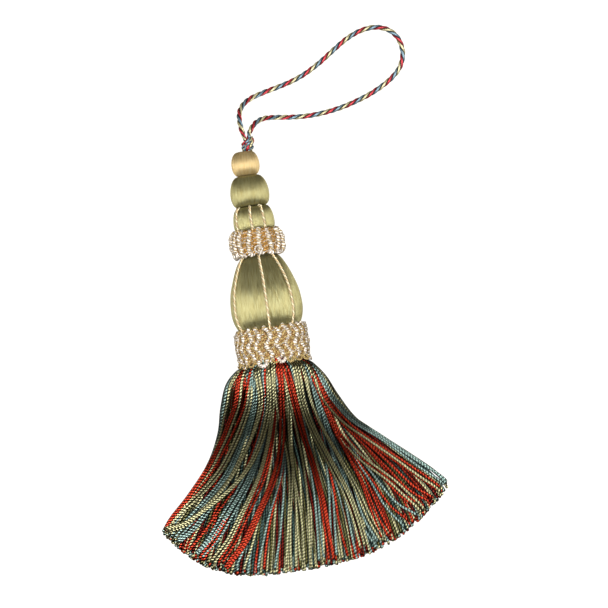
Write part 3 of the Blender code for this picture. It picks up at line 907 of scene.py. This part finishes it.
# %% Loops that hang from the lower collar over the skirt
DROPS = [  # degrees, half its width in degrees, station of its lowest point, thickness of a ply, finish
    (-74, 6, -7.2, 0.26, TAN), (-57, 7, -7.6, 0.3, WHITE), (-40, 8, -7.4, 0.28, TAN), (-29, 6, -6.6, 0.26, GOLD),
    (-18, 7.5, -7.7, 0.46, WHITE), (-8, 6, -6.3, 0.24, WHITE), (3, 6, -6.8, 0.26, GOLD), (13, 6, -6.9, 0.4, WHITE),
    (28, 7, -7.2, 0.3, TAN), (44, 8, -7.1, 0.24, TAN), (62, 7, -7.2, 0.28, TAN), (80, 8, -7.0, 0.28, WHITE),
]
for at in range(98, 280, 17):  # round the back
    DROPS.append((at, dice.uniform(5, 9), -6.6 - dice.uniform(0, 1), 0.28, int(dice.integers(0, 3))))
DROP_TOP = -5.0
for at, wide, lowest, thick, finish in DROPS:
    share = np.linspace(-1, 1, 13)
    station = DROP_TOP + (lowest - DROP_TOP) * np.sqrt(1 - share**2 * 0.98)
    route = wobble(on_head(at + wide * share, 13.0 - 0.6 * np.abs(share), station), 0.07)
    plies = evenly(0.75 * thick, thick, finish, WHITE if thick > 0.35 else TAN)
    lay_gimp(lower, route, plies, -2.0, 0.22, own=OWN_TWIST)
lower.press()
collar_lower = lower.piece("ruff_lower_gimp", GIMP, 12, 4)
fit(collar_lower, "gimp", "ruff_lower")

# %% [markdown]
# ## Skirt
# The skirt is a fringe of fine two-ply cords, Z twisted. They leave the lower collar as a
# round bundle and fan out on the table. Locks are cords that stay together from collar to hem
# and cross their neighbours, so they are listed one by one. Risers fill the gaps as the fan
# widens: a cord with a low rank comes to the top early, one with a high rank late. More cords
# lie flat on the table and fill the middle of the bundle. Cords that stay deep are painted in
# a darker copy of their dye, as painted shade, because little light gets down there.

# %% The skirt's sections
SKIRT_SECTIONS = np.array([
    # left x, y; middle x, y; right x, y; lowest, edge and highest z; how round; how far it leans back
    (-10.5, -0.4, 0.0, -0.4, 10.5, -0.4, 2.4, 12.9, 24.5, 1.0, 0.016),
    (-10.5, -6.7, 0.0, -6.7, 10.5, -6.7, 2.5, 13.0, 25.1, 1.0, 0.016),
    (-14.6, -8.6, 0.0, -9.4, 13.4, -9.4, 0.4, 11.5, 25.9, 0.9, 0.008),
    (-19.0, -12.8, 0.0, -15.5, 17.3, -14.6, -1.0, 8.0, 25.5, 0.8, 0.0),
    (-22.2, -20.6, 0.2, -25.0, 20.8, -22.0, -1.0, 5.0, 21.9, 0.7, 0.0),
    (-24.8, -30.4, 0.6, -35.0, 26.2, -31.0, -0.8, 3.0, 16.4, 0.55, 0.0),
    (-29.8, -39.8, 1.0, -46.0, 34.8, -39.0, -0.6, 2.0, 10.6, 0.4, 0.0),
    (-37.8, -48.9, 1.0, -58.0, 43.8, -46.8, -0.5, 1.6, 6.2, 0.3, 0.0),
    (-44.8, -55.4, 0.4, -69.5, 50.6, -52.6, -0.5, 1.5, 4.1, 0.2, 0.0),
    (-47.8, -58.2, -0.4, -77.4, 54.0, -56.2, -0.5, 1.4, 3.3, 0.2, 0.0),
    (-49.9, -61.2, -1.0, -83.0, 56.0, -59.8, -0.5, 1.2, 2.7, 0.2, 0.0),
])
FIRST, LAST = 0.35, len(SKIRT_SECTIONS) - 1  # where a cord starts inside the collar, and the hem
CORD_RADIUS = 0.5
EDGE_GAP = 0.45  # how far the outermost cord's middle stays inside the outline


def between(rows, place):
    """A table's row at a place between two of its rows, on a smooth curve through them."""
    low = np.clip(np.floor(place).astype(int), 0, len(rows) - 2)
    a, b, c, d = (rows[np.clip(low + k, 0, len(rows) - 1)] for k in (-1, 0, 1, 2))
    return smooth_line(a, b, c, d, (place - low)[:, None])


def skirt_place(across, depth, place):
    """Millimetres in the room: across from -1 to 1, depth from 0 on top to 1 below, place from 0 to LAST, the hem."""
    lx, ly, mx, my, rx, ry, under, edge, crown, roundness, lean = between(SKIRT_SECTIONS, place).T
    half = (rx - lx) / 2
    p = across + (np.sin(across * math.pi / 2) - across) * roundness
    power = 4 - 2 * roundness
    full = (1 - np.clip(np.abs(p), 0, 1) ** power) ** (1 / power)
    p = np.clip(p, -1, 1) * (1 - EDGE_GAP / half)
    x = mx + half * p + ((lx + rx) / 2 - mx) * np.abs(p) ** 3
    y = my + (ry - ly) / 2 * p + ((ly + ry) / 2 - my) * np.abs(p) ** 3
    top = edge + (crown - CORD_RADIUS - edge) * full
    low = edge + (np.maximum(under, 0) + CORD_RADIUS - edge) * full
    z = top + (low - top) * depth
    return np.stack([x, y + (z - edge) * lean, np.maximum(z, CORD_RADIUS)], 1)


print("skirt sections from y", SKIRT_SECTIONS[0][3], "to", SKIRT_SECTIONS[-1][3], "mm")

# %% Room on top at each place down the skirt
CORD_COUNT, UNDER_COUNT, CORE_COUNT = 290, 130, 48  # risers by rank, on the table, in the middle
SPACING = 1.25
stations = np.linspace(0.3, LAST, 40)
fan = np.linspace(-1, 1, 81)
arcs = []
for station in stations:
    top_line = skirt_place(fan, 0.0, np.full(len(fan), station))
    arcs.append(np.linalg.norm(np.diff(top_line, axis=0), axis=1).sum())
ROOM = np.array(arcs) / (2 * CORD_RADIUS * SPACING) / CORD_COUNT
print("share of cords on top: collar", round(ROOM[0], 2), "hem", round(ROOM[-1], 2))

# %% Locks
LOCKS = [  # dye, cords, height, where it rises, and how far across in hundredths at five places down the skirt
    ("slate", 2, 0, 0, -97, -89, -99, -97, -97), ("cream", 1, 0, 0, -90, -80, -98, -97, -92),
    ("red", 2, 2, 0, -72, -63, -94, -99, -99), ("cream", 1, 1, 0, -62, -54, -87, -97, -97),
    ("red", 1, 1, 0, -48, -46, -81, -97, -98), ("cream", 2, 1, 3, -42, -41, -71, -95, -97),
    ("slate", 3, 0, 0, -50, -38, -62, -84, -90), ("cream", 1, 1, 5, -34, -37, -57, -83, -96),
    ("slate", 2, 0, 3, -32, -34, -56, -77, -87), ("cream", 2, 2, 0, -35, -26, -53, -83, -98),
    ("cream", 2, 3, 2, -12, -15, -41, -83, -99), ("slate", 1, 1, 0, -24, -21, -43, -64, -73),
    ("red", 1, 1, 0, -17, -20, -45, -70, -79), ("slate", 3, 1, 4, -10, -14, -36, -59, -72),
    ("red", 2, 1, 7, -13, -16, -38, -60, -69), ("cream", 2, 2, 0, -9, -11, -28, -48, -60),
    ("red", 2, 1, 6, -7, -7, -24, -44, -55), ("slate", 1, 0, 4, -13, -13, -29, -36, -44),
    ("cream", 1, 1, 6, -6, -6, -21, -32, -38), ("cream", 1, 1, 0, -1, -4, -4, -10, -11),
    ("red", 2, 2, 0, 8, 1, -12, -35, -50), ("red", 1, 2, 4, 6, 1, -12, -35, -50),
    ("slate", 1, 1, 5, -2, -2, -9, -25, -29), ("red", 1, 1, 7, 1, 1, -8, -23, -25),
    ("slate", 1, 0, 7, 4, 4, -5, -14, -19), ("cream", 1, 1, 5, 4, 4, 0, -7, -7),
    ("cream", 1, 1, 5, 11, 11, 2, -2, -1), ("cream", 1, 1, 3, 13, 9, 1, 1, 0),
    ("cream", 1, 1, 2, 16, 12, 9, 6, 5), ("red", 2, 2, 0, 19, 18, 19, 17, 17),
    ("red", 1, 2, 3, 22, 20, 21, 19, 19), ("slate", 1, 0, 7, 30, 30, 18, 11, 9),
    ("cream", 1, 1, 5, 31, 31, 22, 15, 13), ("slate", 1, 1, 0, 30, 22, 20, 14, 14),
    ("slate", 2, 1, 7, 49, 49, 36, 23, 19), ("red", 1, 2, 7, 49, 49, 36, 27, 28),
    ("cream", 3, 2, 0, 41, 29, 34, 38, 39), ("slate", 1, 1, 6, 52, 52, 40, 34, 34),
    ("slate", 1, 1, 0, 62, 46, 40, 40, 43), ("slate", 2, 1, 8, 54, 54, 46, 41, 48),
    ("cream", 2, 2, 0, 55, 40, 45, 47, 52), ("cream", 1, 1, 0, 70, 56, 56, 52, 57),
    ("red", 3, 2, 3, 65, 60, 56, 53, 55), ("slate", 1, 1, 6, 68, 68, 60, 59, 66),
    ("red", 1, 1, 6, 68, 68, 60, 61, 70), ("slate", 1, 1, 5, 68, 68, 63, 66, 76),
    ("red", 2, 1, 5, 68, 68, 64, 71, 81), ("cream", 2, 2, 5, 68, 68, 60, 74, 80),
    ("red", 2, 2, 0, 80, 65, 76, 80, 88), ("cream", 1, 3, 2, 79, 60, 82, 89, 94),
    ("red", 2, 1, 3, 70, 68, 82, 91, 95), ("slate", 3, 2, 0, 89, 78, 97, 98, 99),
    ("cream", 1, 1, 0, 96, 88, 99, 99, 99),
]
LOCK_START, LOCK_APART = 1.5, 2.0  # the first of the five places, and how far apart they are
LOCK_PLACE = np.linspace(FIRST, LAST - 0.45, 60)
LOCK_GAP = np.interp(LOCK_PLACE, [1, 5, 6, 7, 8, 10], [0.98, 1.0, 1.05, 1.15, 1.3, 1.48])  # cord to cord, mm
LOCK_SETTLED = np.clip(LOCK_PLACE / 3, 0.2, 1) * (1 - 0.5 * np.clip((LOCK_PLACE - 6) / 4, 0, 1))


def softened(share):
    """A share that starts and ends softly, and stays between 0 and 1."""
    share = np.clip(share, 0, 1)
    return share * share * (3 - 2 * share)


def lock_cords(cords, height, rises, *route):
    """The places across the skirt and the rises of a lock's cords, side by side, at each LOCK_PLACE."""
    knots = np.array(route)[:, None] / 100
    middle = between(knots, np.clip((LOCK_PLACE - LOCK_START) / LOCK_APART, 0, len(route) - 1))[:, 0]
    middle = np.clip(middle, -0.99, 0.99)
    nudge = 0.01
    right, left = (skirt_place(np.clip(middle + k * nudge, -1, 1), 0.0, LOCK_PLACE) for k in (1, -1))
    width = np.linalg.norm(right - left, axis=1) / (2 * nudge)
    risen = softened((LOCK_PLACE - rises + 1.2) / 1.7) if rises else np.ones(len(LOCK_PLACE))
    rise = 0.75 * height * LOCK_SETTLED * risen - 1.5 * (1 - risen)
    for cord in range(cords):
        beside = cord - (cords - 1) / 2
        yield np.clip(middle + beside * LOCK_GAP / width, -0.995, 0.995), rise


print(sum(lock[1] for lock in LOCKS), "cords in", len(LOCKS), "locks")


# %% One skirt cord
DYES = ["red", "slate", "cream"]
CORD_CAP = 0.5
SHADED = 24, 5  # a sunk cord is shaded from 24 mm below its start to 5 mm above its end
dice = np.random.default_rng(7)
bundles = {dye: Strands() for dye in DYES}


def lay_cord(dye, c, depth, rise, place, sunk_in_painted_shade):
    """It sways a little and swells at its end, where its plies open. A deep one is painted darker along its middle:
    painted shade from its neighbours.
    """
    sections = between(SKIRT_SECTIONS, place)
    sway, phase = dice.uniform(0.2, 0.9), dice.uniform(0, 6.3)
    c = c + 0.8 * np.clip(place / 5, 0, 1) * np.sin(sway * place + phase) / (sections[:, 4] - sections[:, 0])
    route = skirt_place(np.clip(c, -0.998, 0.998), depth, place)
    route[:, 2] += rise
    path, distance = smooth_route(route, 1.0 if sunk_in_painted_shade else 0.8, CORD_CAP)
    swell = 1 + 0.15 * np.exp(-(((distance - distance[-1] + 0.9) / 0.8) ** 2))
    thick = CORD_RADIUS * swell * rounded(distance, CORD_CAP)
    gone, left = distance[1:], distance[-1] - SHADED[1]
    finish = ((gone > SHADED[0]) & (gone < left)).astype(int) if sunk_in_painted_shade else 0
    bundles[dye].add(path, distance, UP, thick, 6 if sunk_in_painted_shade else 8, slide=dice.uniform(0, 1), finish=finish)


# %% Lay the locks
for dye, *lock in LOCKS:
    cut = dice.uniform(-0.12, 0.12)
    for c, rise in lock_cords(*lock):
        place = np.linspace(FIRST, LAST - 0.6 + cut + dice.uniform(-0.08, 0.08), 60)
        c, rise = (np.interp(place, LOCK_PLACE, values) for values in (c, rise))
        lay_cord(dye, c, 0.0, rise, place, False)
print({dye: bundles[dye].tubes for dye in DYES}, "cords in locks")

# %% Lay the risers between them
DYE_SHARES = [  # up to how far across, and how much red, slate and cream rises there
    (-0.6, (0.3, 0.25, 0.45)), (-0.1, (0.25, 0.3, 0.45)), (0.3, (0.2, 0.25, 0.55)), (0.5, (0.25, 0.3, 0.45)),
    (0.6, (0.3, 0.2, 0.5)), (0.86, (0.72, 0.12, 0.16)), (1.0, (0.15, 0.45, 0.4)),
]
FAN = [-1, -0.54, 0.2, 0.5, 1], [-1, -0.78, 0.05, 0.43, 1]  # how far across at the collar, and at the hem
GOLDEN = 0.6180339887  # ranks that step by this never bunch up
# A riser ranked above the second of these numbers lies deep and is painted darker along its middle: painted shade.
LOCKS_INSTEAD, SUNK_SHADED, EARLY = 0.42, 0.56, 0.65  # ranks: below, a lock lies there; above, sunk; below, near the top


def spread_out(count, reach):
    """Places across the skirt, evenly from one side to the other."""
    return -reach + 2 * reach * (np.arange(count) + 0.5) / count


ranks = (np.arange(CORD_COUNT) * GOLDEN + 0.31) % 1
run_left = 0
for across, rank in zip(spread_out(CORD_COUNT, 0.985), ranks):
    if run_left == 0:
        run_left = int(dice.integers(1, 4))
        shares = next(shares for limit, shares in DYE_SHARES if across <= limit)
        run_dye = DYES[int(dice.choice(3, p=shares))]
    run_left -= 1
    hem = LAST - (0.75 * (1 - rank) ** 1.5 + dice.uniform(-0.12, 0.22))
    if rank < LOCKS_INSTEAD:
        continue
    place = np.linspace(FIRST, hem, 60)
    room = np.interp(place, stations, ROOM)
    depth = 1 - (1 - np.clip((rank - room) / (1 - room), 0, 1)) ** 1.5
    if rank < EARLY:
        depth = np.minimum(depth, np.interp(place, [3, 6], [0.05, 1]))
    c = across + (np.interp(across, *FAN) - across) * softened((place - 1) / 8)
    lay_cord(run_dye, c, depth, -0.4, place, rank > SUNK_SHADED)
print({dye: bundles[dye].tubes for dye in DYES}, "cords with the risers")


# %% The cords on the table and in the middle of the bundle
def lay_under(route, finish=0):
    """A cord that the others cover: four sides are enough, and it is fatter, which closes the gaps."""
    path, distance = smooth_route(route, 1.2, CORD_CAP)
    dye = DYES[int(dice.integers(0, 3))]
    thick = 0.65 * rounded(distance, CORD_CAP)
    bundles[dye].add(path, distance, UP, thick, 4, slide=dice.uniform(0, 1), finish=finish)


for c in spread_out(UNDER_COUNT, 0.97):
    place = np.linspace(FIRST, LAST - dice.uniform(-0.05, 0.35), 50)
    fanned = np.clip((place - 1) / 8, 0, 1)
    lay_under(skirt_place(c + 0.004 * fanned * np.sin(place * 0.7 + dice.uniform(0, 6.3)), 1.0, place))
# Cords in the middle of the bundle all take the darker copy of their dye: painted shade.
for number, c in enumerate(spread_out(CORE_COUNT, 0.93)):
    place = np.linspace(FIRST, LAST - dice.uniform(0.1, 0.5), 50)
    deep = 0.3 + 0.55 * (0.618 * number % 1)
    lay_under(skirt_place(np.full(50, c), deep, place), finish=1)
print(sum(bundle.tubes for bundle in bundles.values()), "cords in the skirt")

# %% Dye and fit the skirt
CORD_PITCH = 2.4
CORD_LOOK = {"Crevice_Shade_Width": 0.0, "Turns": 1 / CORD_PITCH, "Shine": 0.34, "Relief": 0.02, "Ply_Relief": 0.06}
# For each dye: a cord on top's colour, the painted shade in its grooves and how much; then a darker copy, painted
# shade, for a deep cord.
SKIRT_DYES_AND_SHADES = {
    "red": [("be4029", "46100c", 0.7), ("64201a", "240a08", 0.6)],
    "slate": [("8ca49c", "2c3e3a", 0.65), ("445852", "162220", 0.6)],
    "cream": [("bcb78c", "4c4828", 0.65), ("64623e", "242414", 0.6)],
}
for dye in DYES:
    bundles[dye].press()
    finishes = [
        yarn_material(f"{dye}_cord_{where}", SATIN, *codes, Side_Shade=shade, **CORD_LOOK)
        for where, shade, codes in zip(["on_top", "sunk_in_painted_shade"], [0.8, 0.93], SKIRT_DYES_AND_SHADES[dye])
    ]
    piece = bundles[dye].piece(f"skirt_{dye}", finishes, 80, 3)
    fit(piece, "skirt_cords", "skirt")

# %% The finished tassel's size
FINISHED_BOX = [[float(value) for value in corner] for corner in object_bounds()]
print("finished from", FINISHED_BOX[0], "to", FINISHED_BOX[1])
